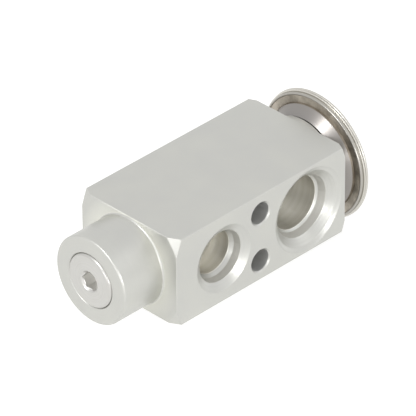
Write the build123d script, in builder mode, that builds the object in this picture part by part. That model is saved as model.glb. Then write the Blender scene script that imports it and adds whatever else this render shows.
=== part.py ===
"""Block-type thermostatic expansion valve for a refrigerant circuit.

A machined aluminium block carries four ports, two through holes for the clamping bolts, an adjusting
screw at the front end and a welded diaphragm head at the rear end. The head pushes a sensing stem, a
push rod and a ball away from their seat, against the superheat spring. The fine threads of the screw
and of the head are plain cylinders here.

Frame: origin on the valve axis, midway between the two bolt holes and midway through the block;
+X runs along the valve axis to the diaphragm head, -Y is the face of the liquid inlet, +Z is up.
All sizes are in millimetres. A step or rim is given as its own width, so that what fits round or
inside it follows.
"""

import os
from math import hypot, sqrt

from build123d import *

# ---------------------------------------------------------------------------- driving dimensions
# Block, with its eight corners turned down from both ends
block_length = 63.8
block_depth = 35.4
block_height = 27.0
long_edge_radius = 0.4
end_edge_break = 0.15
front_corner_turn = 2.76
front_turn_slope = 1.38
rear_corner_turn = 2.11
rear_turn_slope = 1.62

# Bolt holes, one above the other between the ports
bolt_from_front = 31.4
bolt_spacing = 15.0
bolt_hole_radius = 3.26
bolt_hole_chamfer = 0.4

# Boss of the adjusting screw, and collar under the head
boss_radius = 12.87
boss_length = 14.15
boss_edge_radius = 0.55
boss_base_radius = 0.6
collar_radius = 13.4
collar_length = 2.0
collar_edge_chamfer = 0.3
collar_lip = 0.7

# Ports: place from the bolt plane, bore, then radial width and depth of each turned step outwards
liquid_offset = 13.8
liquid_bore_radius = 6.4
liquid_steps = [(0.8, 1.2), (0.45, 2.05), (2.35, 1.5)]
suction_offset = 18.2
suction_bore_radius = 8.0
suction_steps = [(0.6, 0.55), (0.75, 2.15), (1.85, 1.85), (0.1, 0.1), (1.36, 0.75)]

# Flat bottoms of the liquid ports, measured from the valve axis
inlet_floor = 4.5
outlet_floor = 9.7

# A port bore is reamed until just short of the hole that crosses it, and tapers there into the
# drilled way, which is a little narrower
ream_margin = 0.2
way_narrowing = 0.2
way_taper_length = 1.2

# Ball seat, orifice and the drilled way to the outlet port
ball_radius = 2.4
seat_mouth_clearance = 0.2
orifice_radius = 1.6
orifice_length = 2.2
outlet_pocket_radius = 3.0
outlet_pocket_length = 5.0
outlet_drill_radius = 2.9
outlet_drill_shift = 2.5

# Spring chamber, and the wider screw thread in front of it
chamber_radius = 6.6
chamber_floor_length = 2.5
thread_step = 1.4
thread_depth = 8.2
thread_lead_in = 0.2
thread_run_out = 0.6
thread_clearance = 0.05

# Adjusting screw
screw_stand_out = 0.5
screw_thread_length = 7.5
screw_edge_radius = 1.0
screw_shoulder_chamfer = 0.4
screw_tail_length = 5.9
screw_tail_clearance = 0.08
screw_pilot_length = 2.0
hex_across_flats = 5.0
hex_depth = 5.2
hex_lead_in = 0.3
screw_groove_width = 2.1
screw_groove_depth = 1.3
screw_groove_from_tail = 0.9

# Superheat spring, ball carrier and damping ring
spring_wire_radius = 0.9
spring_side_clearance = 0.9
spring_coils = 4.75
spring_pilot_clearance = 0.2
carrier_floor = 0.6
carrier_flange_length = 1.2
carrier_pilot_length = 3.4
carrier_pilot_chamfer = 0.4
carrier_cup_land = 0.2
carrier_nose_wall = 1.1
ring_thickness = 0.3
ring_bend = 0.6
ring_leg_length = 5.4
ring_leg_width = 2.4
ring_wall_clearance = 0.1

# Push rod and its seal
rod_radius = 1.25
rod_neck_radius = 0.85
rod_neck_overrun = 0.6
rod_tip_chamfer = 0.3
rod_clearance = 0.04
seal_pocket_radius = 2.8
seal_pocket_length = 2.7
seal_from_bolt_plane = 4.2
rod_o_ring_width = 1.6
washer_thickness = 0.6
washer_bore_clearance = 0.08
retainer_thickness = 0.3
retainer_bore_clearance = 0.45
retainer_teeth = 6
retainer_notch = 0.5

# Sensing stem and stop plate
stem_radius = 3.1
stem_clearance = 0.05
stem_edge_chamfer = 0.4
stem_socket_depth = 2.4
stem_seal_gap = 1.2
stem_hole_clearance = 1.5
plate_side_clearance = 0.8
plate_thickness = 1.2
plate_edge_chamfer = 0.3
plate_hub_wall = 2.9
plate_hub_length = 2.5
plate_socket_depth = 1.8
valve_lift = 0.6
lift_reserve = 0.25

# Diaphragm head: threaded neck, cone, grooved rim, and the pressed cover on top
head_gap = 0.5
head_wall = 1.2
neck_wall = 1.6
neck_end_clearance = 0.5
neck_thread_clearance = 0.08
neck_end_chamfer = 0.5
head_seal_width = 1.8
head_seal_depth = 1.5
shoulder_overlap = 0.3
cone_width = 2.85
cone_length = 2.85
rim_groove_width = 2.25
rim_groove_depth = 0.65
rim_groove_slope = 0.4
rim_edge_round = 0.4
joint_from_shoulder = 4.2
cavity_wall = 0.75
cavity_slope = 1.8
diaphragm_thickness = 0.15
diaphragm_set_back = 0.1
wave_start = 0.3
wave_width = 1.4
wave_height = 0.4
cover_sheet = 0.84
cover_overhang = 0.64
cover_height = 4.9
cover_foot_width = 3.5
cover_dome_width = 4.4
cover_bend_radius = 0.8
plug_radius = 1.5
plug_tip_chamfer = 0.4
plug_tip_length = 0.6
plug_head_radius = 2.4
plug_head_height = 1.0

# Gap left between pieces that rest on each other, and between a seal and its groove
seat_gap = 0.02
seal_gap = 0.02

# How far a cut runs out past the face that it starts from
run_out = 1.0

# ----------------------------------------------------------------------------- derived places
front_x = -bolt_from_front
rear_x = front_x + block_length
boss_x = front_x - boss_length
collar_x = rear_x + collar_length
face_y = block_depth / 2
liquid_x = -liquid_offset
suction_x = suction_offset

# The cone of the seat is square: its radius falls by its length.
seat_mouth_radius = ball_radius + seat_mouth_clearance
orifice_x = liquid_x + seat_mouth_radius - orifice_radius
pocket_x = orifice_x + orifice_length
guide_x = pocket_x + outlet_pocket_length
seat_apex_x = liquid_x + seat_mouth_radius
ball_x = seat_apex_x - ball_radius * sqrt(2) - seat_gap
chamber_end_x = liquid_x - chamber_floor_length

thread_radius = chamber_radius + thread_step
thread_end_x = boss_x + thread_depth
screw_radius = thread_radius - thread_clearance
screw_front_x = boss_x - screw_stand_out
screw_shoulder_x = screw_front_x + screw_thread_length
screw_tail_x = screw_shoulder_x + screw_tail_length
tail_radius = chamber_radius - screw_tail_clearance
groove_radius = tail_radius - screw_groove_depth
groove_end_x = screw_tail_x - screw_groove_from_tail
groove_start_x = groove_end_x - screw_groove_width

leg_radius = chamber_radius - ring_wall_clearance
carrier_flange_radius = leg_radius - ring_bend
spring_outer_radius = leg_radius - ring_thickness - spring_side_clearance
spring_mean_radius = spring_outer_radius - spring_wire_radius
pilot_radius = spring_mean_radius - spring_wire_radius - spring_pilot_clearance

cup_apex_x = ball_x - ball_radius * sqrt(2) - seat_gap
cup_radius = ball_radius / sqrt(2) + carrier_cup_land
carrier_nose_x = cup_apex_x + cup_radius
flange_front_x = cup_apex_x + carrier_floor
flange_back_x = flange_front_x - carrier_flange_length
ring_back_x = flange_back_x - ring_thickness
carrier_tail_x = ring_back_x - carrier_pilot_length

rod_start_x = ball_x + ball_radius + seat_gap
seal_x = seal_from_bolt_plane
seal_end_x = seal_x + seal_pocket_length
washer_x = seal_x + rod_o_ring_width + 2 * seal_gap
retainer_x = washer_x + washer_thickness + seal_gap
stem_start_x = seal_end_x + stem_seal_gap
rod_end_x = stem_start_x + stem_socket_depth

head_seal_radius = collar_radius - collar_lip
neck_radius = head_seal_radius - head_seal_width
neck_bore_radius = neck_radius - neck_wall
shoulder_radius = head_seal_radius + shoulder_overlap
shoulder_x = collar_x + head_gap
head_bore_x = suction_x + suction_bore_radius + head_wall
neck_start_x = head_bore_x + neck_end_clearance
head_seal_x = collar_x - head_seal_depth
cone_x = shoulder_x + cone_length
cone_radius = shoulder_radius + cone_width
rim_groove_x = cone_x + rim_groove_depth
crest_radius = cone_radius + rim_groove_width
rim_radius = crest_radius + rim_edge_round
joint_x = shoulder_x + joint_from_shoulder
cavity_rim_radius = cone_radius - cavity_wall
cavity_radius = cavity_rim_radius - cavity_slope

plate_radius = cavity_radius - plate_side_clearance
plate_top_x = joint_x - seat_gap
plate_back_x = plate_top_x - plate_thickness
cavity_x = plate_back_x - valve_lift - lift_reserve
hub_back_x = plate_back_x - plate_hub_length
stem_end_x = hub_back_x + plate_socket_depth

cover_joint_x = joint_x + diaphragm_thickness
cover_back_x = cover_joint_x + cover_sheet
cover_top_x = cover_joint_x + cover_height
flange_radius = rim_radius + cover_overhang
dome_foot_radius = flange_radius - cover_foot_width
dome_top_radius = dome_foot_radius - cover_dome_width
plug_seat_x = cover_top_x + seal_gap
plug_end_x = plug_seat_x + plug_head_height


def turned(points):
    """A closed profile in the XY plane, to be turned about an axis in that plane."""
    with BuildSketch(Plane.XY) as profile:
        with BuildLine():
            Polyline(*points, close=True)
        make_face()
    return profile.sketch


def port_profile(centre_x, side, bore_radius, ream_end, floor, steps):
    """Half section of one port, from its floor above the valve axis out past the block's face."""
    radius = bore_radius
    depth = sum(step_depth for _, step_depth in steps)
    points = [(0, floor)]
    if floor < ream_end:
        way_radius = bore_radius - way_narrowing
        points += [(way_radius, floor), (way_radius, ream_end - way_taper_length)]
    points += [(radius, ream_end), (radius, face_y - depth)]
    for step_width, step_depth in steps:
        radius += step_width
        depth -= step_depth
        points.append((radius, face_y - depth))
    points += [(radius, face_y + run_out), (0, face_y + run_out)]
    return turned([(centre_x + r, side * y) for r, y in points])


def ring_section(start_x, end_x, inner_radius, outer_radius):
    """Oval section of a squeezed sealing ring that fills its groove up to the seal gap."""
    with BuildSketch(Plane.XY) as section:
        with Locations(((start_x + end_x) / 2, (inner_radius + outer_radius) / 2)):
            Ellipse((end_x - start_x) / 2 - seal_gap, (outer_radius - inner_radius) / 2 - seal_gap)
    return section.sketch


def save(piece, name):
    """Labels a finished piece and writes its file."""
    piece.part.label = name
    export_step(piece.part, f"parts/{name}.step")


# --------------------------------------------------------------------------------- valve body
corner_radius = hypot(block_depth / 2, block_height / 2)
outside_radius = corner_radius + run_out
front_turn_x = front_x + (front_corner_turn + run_out) / front_turn_slope
rear_turn_x = rear_x - (rear_corner_turn + run_out) / rear_turn_slope

with BuildPart() as valve_body:
    # The block, then its eight corners turned to cones from both ends
    with BuildSketch(Plane.YZ.offset(front_x)):
        RectangleRounded(block_depth, block_height, long_edge_radius)
    extrude(amount=block_length)
    corner_turning = [
        (front_x, 0),
        (front_x, corner_radius - front_corner_turn),
        (front_turn_x, outside_radius),
        (rear_turn_x, outside_radius),
        (rear_x, corner_radius - rear_corner_turn),
        (rear_x, 0),
    ]
    revolve(turned(corner_turning), axis=Axis.X, mode=Mode.INTERSECT)
    end_faces = [valve_body.faces().sort_by(Axis.X)[0], valve_body.faces().sort_by(Axis.X)[-1]]
    chamfer([edge for face in end_faces for edge in face.edges()], end_edge_break)

    # Boss of the adjusting screw, with a rounded edge and a small radius where it meets the block
    boss_root_radius = boss_radius + boss_base_radius
    with BuildSketch(Plane.XY):
        with BuildLine():
            Polyline(
                (front_x + run_out, 0),
                (boss_x, 0),
                (boss_x, boss_radius - boss_edge_radius),
            )
            RadiusArc(
                (boss_x, boss_radius - boss_edge_radius),
                (boss_x + boss_edge_radius, boss_radius),
                boss_edge_radius,
            )
            Line((boss_x + boss_edge_radius, boss_radius), (front_x - boss_base_radius, boss_radius))
            RadiusArc(
                (front_x - boss_base_radius, boss_radius),
                (front_x, boss_root_radius),
                -boss_base_radius,
            )
            Polyline(
                (front_x, boss_root_radius),
                (front_x + run_out, boss_root_radius),
                (front_x + run_out, 0),
            )
        make_face()
    revolve(axis=Axis.X)

    # Collar under the head
    collar = [
        (rear_x - run_out, 0),
        (rear_x - run_out, collar_radius),
        (collar_x - collar_edge_chamfer, collar_radius),
        (collar_x, collar_radius - collar_edge_chamfer),
        (collar_x, 0),
    ]
    revolve(turned(collar), axis=Axis.X)

    # Front bore: screw thread, spring chamber, ball seat, orifice, outlet pocket and rod guide
    front_bore = [
        (boss_x - run_out, 0),
        (boss_x - run_out, thread_radius + thread_lead_in),
        (boss_x, thread_radius + thread_lead_in),
        (boss_x + thread_lead_in, thread_radius),
        (thread_end_x, thread_radius),
        (thread_end_x + thread_run_out, chamber_radius),
        (chamber_end_x, chamber_radius),
        (liquid_x, seat_mouth_radius),
        (orifice_x, orifice_radius),
        (pocket_x, orifice_radius),
        (pocket_x, outlet_pocket_radius),
        (guide_x, outlet_pocket_radius),
        (guide_x, rod_radius + rod_clearance),
        (seal_x, rod_radius + rod_clearance),
        (seal_x, seal_pocket_radius),
        (seal_end_x, seal_pocket_radius),
        (seal_end_x, stem_radius + stem_clearance),
        (suction_x, stem_radius + stem_clearance),
        (suction_x, 0),
    ]
    revolve(turned(front_bore), axis=Axis.X, mode=Mode.SUBTRACT)

    # Rear bore: hole round the stem, thread of the head and pocket of the head seal
    rear_bore = [
        (suction_x, 0),
        (suction_x, stem_radius + stem_hole_clearance),
        (head_bore_x, stem_radius + stem_hole_clearance),
        (head_bore_x, neck_radius + neck_thread_clearance),
        (head_seal_x, neck_radius + neck_thread_clearance),
        (head_seal_x, head_seal_radius),
        (collar_x + run_out, head_seal_radius),
        (collar_x + run_out, 0),
    ]
    revolve(turned(rear_bore), axis=Axis.X, mode=Mode.SUBTRACT)

    # Ports: liquid inlet at -Y, liquid outlet at +Y, and the suction bore right through
    liquid_axis = Axis((liquid_x, 0, 0), (0, 1, 0))
    suction_axis = Axis((suction_x, 0, 0), (0, 1, 0))
    inlet_ream_end = chamber_radius + ream_margin
    inlet = port_profile(liquid_x, -1, liquid_bore_radius, inlet_ream_end, inlet_floor, liquid_steps)
    outlet = port_profile(liquid_x, 1, liquid_bore_radius, outlet_floor, outlet_floor, liquid_steps)
    revolve(inlet, axis=liquid_axis, mode=Mode.SUBTRACT)
    revolve(outlet, axis=liquid_axis, mode=Mode.SUBTRACT)
    suction_ream_end = stem_radius + stem_hole_clearance + ream_margin
    for side in (-1, 1):
        suction = port_profile(suction_x, side, suction_bore_radius, suction_ream_end, 0, suction_steps)
        revolve(suction, axis=suction_axis, mode=Mode.SUBTRACT)

    # Way from the pocket behind the orifice, drilled at a lean through the outlet port
    drill_path = Vector(-outlet_drill_shift, outlet_floor, 0)
    with BuildSketch(Plane(origin=((pocket_x + guide_x) / 2, 0, 0), x_dir=(0, 0, 1), z_dir=drill_path)):
        Circle(outlet_drill_radius)
    extrude(amount=drill_path.length + run_out, mode=Mode.SUBTRACT)

    # Bolt holes, chamfered at both faces
    for side in (-1, 1):
        with Locations(Plane(origin=(0, side * face_y, 0), x_dir=(1, 0, 0), z_dir=(0, side, 0))):
            with GridLocations(bolt_spacing, bolt_spacing, 1, 2):
                CounterSinkHole(bolt_hole_radius, bolt_hole_radius + bolt_hole_chamfer, face_y, 90)

# ---------------------------------------------------------------------------- adjusting screw
with BuildPart() as adjusting_screw:
    with BuildSketch(Plane.XY):
        with BuildLine():
            Line((screw_front_x, 0), (screw_front_x, screw_radius - screw_edge_radius))
            RadiusArc(
                (screw_front_x, screw_radius - screw_edge_radius),
                (screw_front_x + screw_edge_radius, screw_radius),
                screw_edge_radius,
            )
            Polyline(
                (screw_front_x + screw_edge_radius, screw_radius),
                (screw_shoulder_x - screw_shoulder_chamfer, screw_radius),
                (screw_shoulder_x, screw_radius - screw_shoulder_chamfer),
                (screw_shoulder_x, tail_radius),
                (groove_start_x, tail_radius),
                (groove_start_x, groove_radius),
                (groove_end_x, groove_radius),
                (groove_end_x, tail_radius),
                (screw_tail_x, tail_radius),
                (screw_tail_x, pilot_radius),
                (screw_tail_x + screw_pilot_length, pilot_radius),
                (screw_tail_x + screw_pilot_length, 0),
                (screw_front_x, 0),
            )
        make_face()
    revolve(axis=Axis.X)
    # Hexagon socket with a turned lead-in
    with BuildSketch(Plane.YZ.offset(screw_front_x)):
        RegularPolygon(hex_across_flats / 2, 6, major_radius=False, rotation=30)
    extrude(amount=hex_depth, mode=Mode.SUBTRACT)
    lead_in_radius = hex_across_flats / sqrt(3) + hex_lead_in
    lead_in = [(screw_front_x, 0), (screw_front_x, lead_in_radius), (screw_front_x + lead_in_radius, 0)]
    revolve(turned(lead_in), axis=Axis.X, mode=Mode.SUBTRACT)

with BuildPart() as adjusting_screw_o_ring:
    revolve(ring_section(groove_start_x, groove_end_x, groove_radius, chamber_radius), axis=Axis.X)

# ------------------------------------------------------------------------- spring and carrier
spring_length = ring_back_x - screw_tail_x
spring_pitch = spring_length / spring_coils

with BuildPart() as superheat_spring:
    # The coil is wound half a turn past both seats and is then ground flat to them.
    coil_start = (screw_tail_x - spring_pitch / 2, 0, 0)
    coil_length = spring_length + spring_pitch
    with BuildLine() as coil:
        Helix(spring_pitch, coil_length, spring_mean_radius, center=coil_start, direction=(1, 0, 0))
    with BuildSketch(Plane(coil.line @ 0, z_dir=coil.line % 0)):
        Circle(spring_wire_radius)
    sweep(path=coil.line, is_frenet=True)
    split(bisect_by=Plane.YZ.offset(screw_tail_x + seat_gap), keep=Keep.TOP)
    split(bisect_by=Plane.YZ.offset(ring_back_x - seat_gap), keep=Keep.BOTTOM)

with BuildPart() as ball_carrier:
    carrier = [
        (carrier_tail_x, 0),
        (carrier_tail_x, pilot_radius - carrier_pilot_chamfer),
        (carrier_tail_x + carrier_pilot_chamfer, pilot_radius),
        (flange_back_x, pilot_radius),
        (flange_back_x, carrier_flange_radius),
        (flange_front_x, carrier_flange_radius),
        (flange_front_x, cup_radius + carrier_nose_wall),
        (carrier_nose_x, cup_radius + carrier_nose_wall),
        (carrier_nose_x, cup_radius),
        (cup_apex_x, 0),
    ]
    revolve(turned(carrier), axis=Axis.X)

with BuildPart() as damping_ring:
    # Washer with four fingers that are bent along the chamber wall
    with BuildSketch(Plane.YZ.offset(ring_back_x)):
        Circle(carrier_flange_radius)
        for lean in (-45, 45):
            Rectangle(2 * chamber_radius, ring_leg_width, rotation=lean)
        Circle(leg_radius, mode=Mode.INTERSECT)
        Circle(pilot_radius + seal_gap, mode=Mode.SUBTRACT)
    extrude(amount=ring_thickness)
    with BuildSketch(Plane.YZ.offset(flange_back_x - ring_leg_length)):
        for lean in (-45, 45):
            Rectangle(2 * chamber_radius, ring_leg_width, rotation=lean)
        Circle(leg_radius, mode=Mode.INTERSECT)
        Circle(leg_radius - ring_thickness, mode=Mode.SUBTRACT)
    extrude(amount=ring_leg_length)

with BuildPart() as valve_ball:
    with Locations((ball_x, 0, 0)):
        Sphere(ball_radius)

# --------------------------------------------------------------------------- push rod and seal
with BuildPart() as push_rod:
    neck_end_x = pocket_x + rod_neck_overrun
    rod_tip_x = rod_end_x - seat_gap
    rod = [
        (rod_start_x, 0),
        (rod_start_x, rod_neck_radius),
        (neck_end_x, rod_neck_radius),
        (neck_end_x + rod_radius - rod_neck_radius, rod_radius),
        (rod_tip_x - rod_tip_chamfer, rod_radius),
        (rod_tip_x, rod_radius - rod_tip_chamfer),
        (rod_tip_x, 0),
    ]
    revolve(turned(rod), axis=Axis.X)

with BuildPart() as rod_o_ring:
    revolve(ring_section(seal_x, washer_x, rod_radius, seal_pocket_radius), axis=Axis.X)

with BuildPart() as rod_seal_washer:
    with BuildSketch(Plane.YZ.offset(washer_x)):
        Circle(seal_pocket_radius - seal_gap)
        Circle(rod_radius + washer_bore_clearance, mode=Mode.SUBTRACT)
    extrude(amount=washer_thickness)

with BuildPart() as seal_retainer:
    # Spring washer whose teeth grip the wall of the pocket
    with BuildSketch(Plane.YZ.offset(retainer_x)):
        Circle(seal_pocket_radius - seal_gap)
        Circle(rod_radius + retainer_bore_clearance, mode=Mode.SUBTRACT)
        with PolarLocations(seal_pocket_radius, retainer_teeth):
            Rectangle(2 * retainer_notch, retainer_notch, mode=Mode.SUBTRACT)
    extrude(amount=retainer_thickness)

# ---------------------------------------------------------------------- stem and stop plate
with BuildPart() as sensing_stem:
    stem = [
        (rod_end_x, 0),
        (rod_end_x, rod_radius + rod_clearance),
        (stem_start_x, rod_radius + rod_clearance),
        (stem_start_x, stem_radius - stem_edge_chamfer),
        (stem_start_x + stem_edge_chamfer, stem_radius),
        (stem_end_x, stem_radius),
        (stem_end_x, 0),
    ]
    revolve(turned(stem), axis=Axis.X)

with BuildPart() as stop_plate:
    hub_radius = stem_radius + plate_hub_wall
    plate = [
        (stem_end_x + seat_gap, 0),
        (stem_end_x + seat_gap, stem_radius + seal_gap),
        (hub_back_x, stem_radius + seal_gap),
        (hub_back_x, hub_radius),
        (plate_back_x, hub_radius),
        (plate_back_x, plate_radius - plate_edge_chamfer),
        (plate_back_x + plate_edge_chamfer, plate_radius),
        (plate_top_x - plate_edge_chamfer, plate_radius),
        (plate_top_x, plate_radius - plate_edge_chamfer),
        (plate_top_x, 0),
    ]
    revolve(turned(plate), axis=Axis.X)

# ------------------------------------------------------------------------------ diaphragm head
with BuildPart() as head_lower_housing:
    with BuildSketch(Plane.XY):
        with BuildLine():
            Polyline(
                (neck_start_x, neck_bore_radius),
                (neck_start_x, neck_radius - neck_end_chamfer),
                (neck_start_x + neck_end_chamfer, neck_radius),
                (shoulder_x, neck_radius),
                (shoulder_x, shoulder_radius),
                (cone_x, cone_radius),
                (rim_groove_x, cone_radius + rim_groove_slope),
                (rim_groove_x, crest_radius - rim_groove_slope),
                (cone_x, crest_radius),
            )
            RadiusArc((cone_x, crest_radius), (cone_x + rim_edge_round, rim_radius), rim_edge_round)
            Polyline(
                (cone_x + rim_edge_round, rim_radius),
                (joint_x, rim_radius),
                (joint_x, cavity_rim_radius),
                (cavity_x, cavity_radius),
                (cavity_x, neck_bore_radius),
                (neck_start_x, neck_bore_radius),
            )
        make_face()
    revolve(axis=Axis.X)

with BuildPart() as diaphragm:
    # Thin disc, flat over the stop plate, with one wave round it and its edge clamped in the rim
    wave_in = plate_radius + wave_start
    wave_out = wave_in + wave_width
    wave_middle = (wave_in + wave_out) / 2
    edge_radius = rim_radius - diaphragm_set_back
    top_x = cover_joint_x - seal_gap
    with BuildSketch(Plane.XY):
        with BuildLine():
            Polyline((top_x, wave_in), (top_x, 0), (joint_x, 0), (joint_x, wave_in))
            ThreePointArc((joint_x, wave_in), (joint_x + wave_height, wave_middle), (joint_x, wave_out))
            Polyline((joint_x, wave_out), (joint_x, edge_radius), (top_x, edge_radius), (top_x, wave_out))
            ThreePointArc((top_x, wave_out), (top_x + wave_height, wave_middle), (top_x, wave_in))
        make_face()
    revolve(axis=Axis.X)

with BuildPart() as head_cover:
    # Pressed dish of one sheet thickness: rounded flange edge, dome, and a hole for the charge plug
    flange_centre_radius = flange_radius - cover_sheet / 2
    plug_hole_radius = plug_radius + seal_gap
    dome_rise = cover_top_x - cover_back_x
    dome_length = hypot(dome_rise, cover_dome_width)
    sheet_shift = cover_sheet * (dome_length - cover_dome_width) / dome_rise
    tight_and_wide = [cover_bend_radius, cover_bend_radius + cover_sheet]
    with BuildSketch(Plane.XY):
        with BuildLine():
            ThreePointArc(
                (cover_joint_x, flange_centre_radius),
                (cover_joint_x + cover_sheet / 2, flange_radius),
                (cover_back_x, flange_centre_radius),
            )
            FilletPolyline(
                (cover_back_x, flange_centre_radius),
                (cover_back_x, dome_foot_radius),
                (cover_top_x, dome_top_radius),
                (cover_top_x, plug_hole_radius),
                radius=tight_and_wide,
            )
            Line((cover_top_x, plug_hole_radius), (cover_top_x - cover_sheet, plug_hole_radius))
            FilletPolyline(
                (cover_top_x - cover_sheet, plug_hole_radius),
                (cover_top_x - cover_sheet, dome_top_radius - sheet_shift),
                (cover_joint_x, dome_foot_radius - sheet_shift),
                (cover_joint_x, flange_centre_radius),
                radius=tight_and_wide,
            )
        make_face()
    revolve(axis=Axis.X)

with BuildPart() as charge_plug:
    # Plug welded into the cover after filling, with a domed head
    plug_tip_x = cover_top_x - cover_sheet - plug_tip_length
    dome_sphere = (plug_head_radius**2 + plug_head_height**2) / (2 * plug_head_height)
    with BuildSketch(Plane.XY):
        with BuildLine():
            Polyline(
                (plug_end_x, 0),
                (plug_tip_x, 0),
                (plug_tip_x, plug_radius - plug_tip_chamfer),
                (plug_tip_x + plug_tip_chamfer, plug_radius),
                (plug_seat_x, plug_radius),
                (plug_seat_x, plug_head_radius),
            )
            RadiusArc((plug_seat_x, plug_head_radius), (plug_end_x, 0), dome_sphere)
        make_face()
    revolve(axis=Axis.X)

with BuildPart() as head_o_ring:
    revolve(ring_section(head_seal_x, shoulder_x, neck_radius, head_seal_radius), axis=Axis.X)

# -------------------------------------------------------------------------------------- files
os.makedirs("parts", exist_ok=True)
save(valve_body, "valve_body")
save(adjusting_screw, "adjusting_screw")
save(adjusting_screw_o_ring, "adjusting_screw_o_ring")
save(superheat_spring, "superheat_spring")
save(ball_carrier, "ball_carrier")
save(damping_ring, "damping_ring")
save(valve_ball, "valve_ball")
save(push_rod, "push_rod")
save(rod_o_ring, "rod_o_ring")
save(rod_seal_washer, "rod_seal_washer")
save(seal_retainer, "seal_retainer")
save(sensing_stem, "sensing_stem")
save(stop_plate, "stop_plate")
save(diaphragm, "diaphragm")
save(head_lower_housing, "head_lower_housing")
save(head_cover, "head_cover")
save(charge_plug, "charge_plug")
save(head_o_ring, "head_o_ring")
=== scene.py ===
# %% [markdown]
# # A block-type expansion valve
# The valve is a machined aluminium block with a turned boss and an adjusting screw at one end and a
# diaphragm head of stainless steel at the other. Its solids come ready made, at their real size and in
# their real place. This lesson gives each of them a finish, winds the threads that the solids leave out
# and the spring that moves, and sets up a small photographic table.

# %% Load the model
import math

import bmesh
import bpy
from mathutils import Matrix, Vector


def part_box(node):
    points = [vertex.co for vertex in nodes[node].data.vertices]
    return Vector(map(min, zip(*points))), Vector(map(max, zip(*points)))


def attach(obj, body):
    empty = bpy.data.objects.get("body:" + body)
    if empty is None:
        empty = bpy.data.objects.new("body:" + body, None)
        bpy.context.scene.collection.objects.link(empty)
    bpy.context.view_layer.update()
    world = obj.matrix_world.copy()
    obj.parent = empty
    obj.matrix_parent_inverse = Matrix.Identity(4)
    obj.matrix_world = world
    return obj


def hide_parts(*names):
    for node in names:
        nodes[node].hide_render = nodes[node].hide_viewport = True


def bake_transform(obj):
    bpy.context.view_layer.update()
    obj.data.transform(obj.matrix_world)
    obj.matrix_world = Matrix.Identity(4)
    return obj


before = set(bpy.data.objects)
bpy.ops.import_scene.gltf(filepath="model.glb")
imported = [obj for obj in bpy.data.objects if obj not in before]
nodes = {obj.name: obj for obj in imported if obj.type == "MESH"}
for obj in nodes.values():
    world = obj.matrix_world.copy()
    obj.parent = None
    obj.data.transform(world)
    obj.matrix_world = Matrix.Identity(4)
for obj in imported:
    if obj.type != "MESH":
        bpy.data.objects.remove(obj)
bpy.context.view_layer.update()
MM = 0.001

# %% [markdown]
# ## Places
# The model is in metres, with +X along the valve axis to the head, -Y out of the face with the liquid
# inlet and +Z up. Finishes are drawn in millimetres, so the places that they need are in millimetres
# too. The outer ones are read from the boxes of the solids. The others are sizes of the block's ports,
# holes and boss, and they are given here once.

# %% Places on the block, in millimetres
body_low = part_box("valve_body")[0] / MM
screw_low, screw_high = (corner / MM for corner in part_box("adjusting_screw"))
housing_low, housing_high = (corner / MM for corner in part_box("head_lower_housing"))
cover_low, cover_high = (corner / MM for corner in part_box("head_cover"))

BOSS_FACE_X = body_low.x
FLANGE_R = cover_high.z
FRONT_X = -31.4
FACING_DEPTH = 0.2
# the end face is painted brighter out to this radius: painted light thrown by the boss
LIT_RING_R = 18.0
BOSS_R = 12.87
LIQUID_X = -13.8
LIQUID_BORE_R = 6.5
LIQUID_MOUTH_R = 10.0
LIQUID_WALL = (7.2, 7.66)
SUCTION_X = 18.2
SUCTION_BORE_R = 8.1
SUCTION_MOUTH_R = 12.66
SUCTION_WALL = (8.6, 9.37)
BOLT_Z = 7.5
BOLT_MOUTH_R = 3.66
BOLT_HOLE_R = 3.29
print("boss from", round(BOSS_FACE_X, 2), "to", FRONT_X, "flange radius", round(FLANGE_R, 2))

# %% [markdown]
# ## Colours
# A colour picked from a colour chart is an sRGB hex value, but Blender's shaders count in linear light.
# One function turns the first into the second, so every colour below can be written as a plain hex value.

# %% Hex colours
def linear(hex_colour):
    """The linear RGBA of an sRGB hex colour such as 'c7c6c2'."""
    channels = [int(hex_colour[i : i + 2], 16) / 255 for i in (0, 2, 4)]
    return [c / 12.92 if c <= 0.04045 else ((c + 0.055) / 1.055) ** 2.4 for c in channels] + [1.0]


print("c7c6c2 is", [round(c, 3) for c in linear("c7c6c2")])

# %% [markdown]
# ## One helper for every shader node
# A material is a small network. Each step below adds one node, sets its properties by name and fills
# its sockets, either with a value or with the output of an earlier node.

# %% Shader node helper
def add_node(tree, kind, sockets=None, **settings):
    """Adds a shader node. Each socket is filled with a value, or linked to an output socket."""
    made = tree.nodes.new("ShaderNode" + kind)
    for name, value in settings.items():
        setattr(made, name, value)
    for name, filling in (sockets or {}).items():
        if isinstance(filling, bpy.types.NodeSocket):
            tree.links.new(filling, made.inputs[name])
        else:
            made.inputs[name].default_value = filling
    return made


print("add_node fills sockets by number or by name")

# %% [markdown]
# ## Beginning and ending a material
# Every material begins with its object coordinates, which stay with a piece wherever it moves. They are
# turned to millimetres, so that a pattern can be as wide as the real one. It ends with the principled
# shader, which is a metal or isn't.

# %% Material helpers
METAL, NOT_METAL = 1.0, 0.0


def new_material(name):
    """An empty node material, its tree, and its object coordinates in millimetres."""
    material = bpy.data.materials.new(name)
    material.use_nodes = True
    tree = material.node_tree
    tree.nodes.clear()
    place = add_node(tree, "TexCoord").outputs["Object"]
    in_mm = add_node(tree, "VectorMath", {0: place, "Scale": 1 / MM}, operation="SCALE").outputs[0]
    return material, tree, in_mm


def close_material(tree, sockets):
    """Ends a network with the principled shader and the material's output."""
    shader = add_node(tree, "BsdfPrincipled", sockets)
    add_node(tree, "OutputMaterial", {"Surface": shader.outputs[0]})


def wear(names, material):
    """Gives CAD nodes their finish."""
    for name in names:
        mesh = nodes[name].data
        mesh.materials.clear()
        mesh.materials.append(material)
    print(material.name, "on", ", ".join(names))


print("one pattern unit is", MM, "m")
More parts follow.
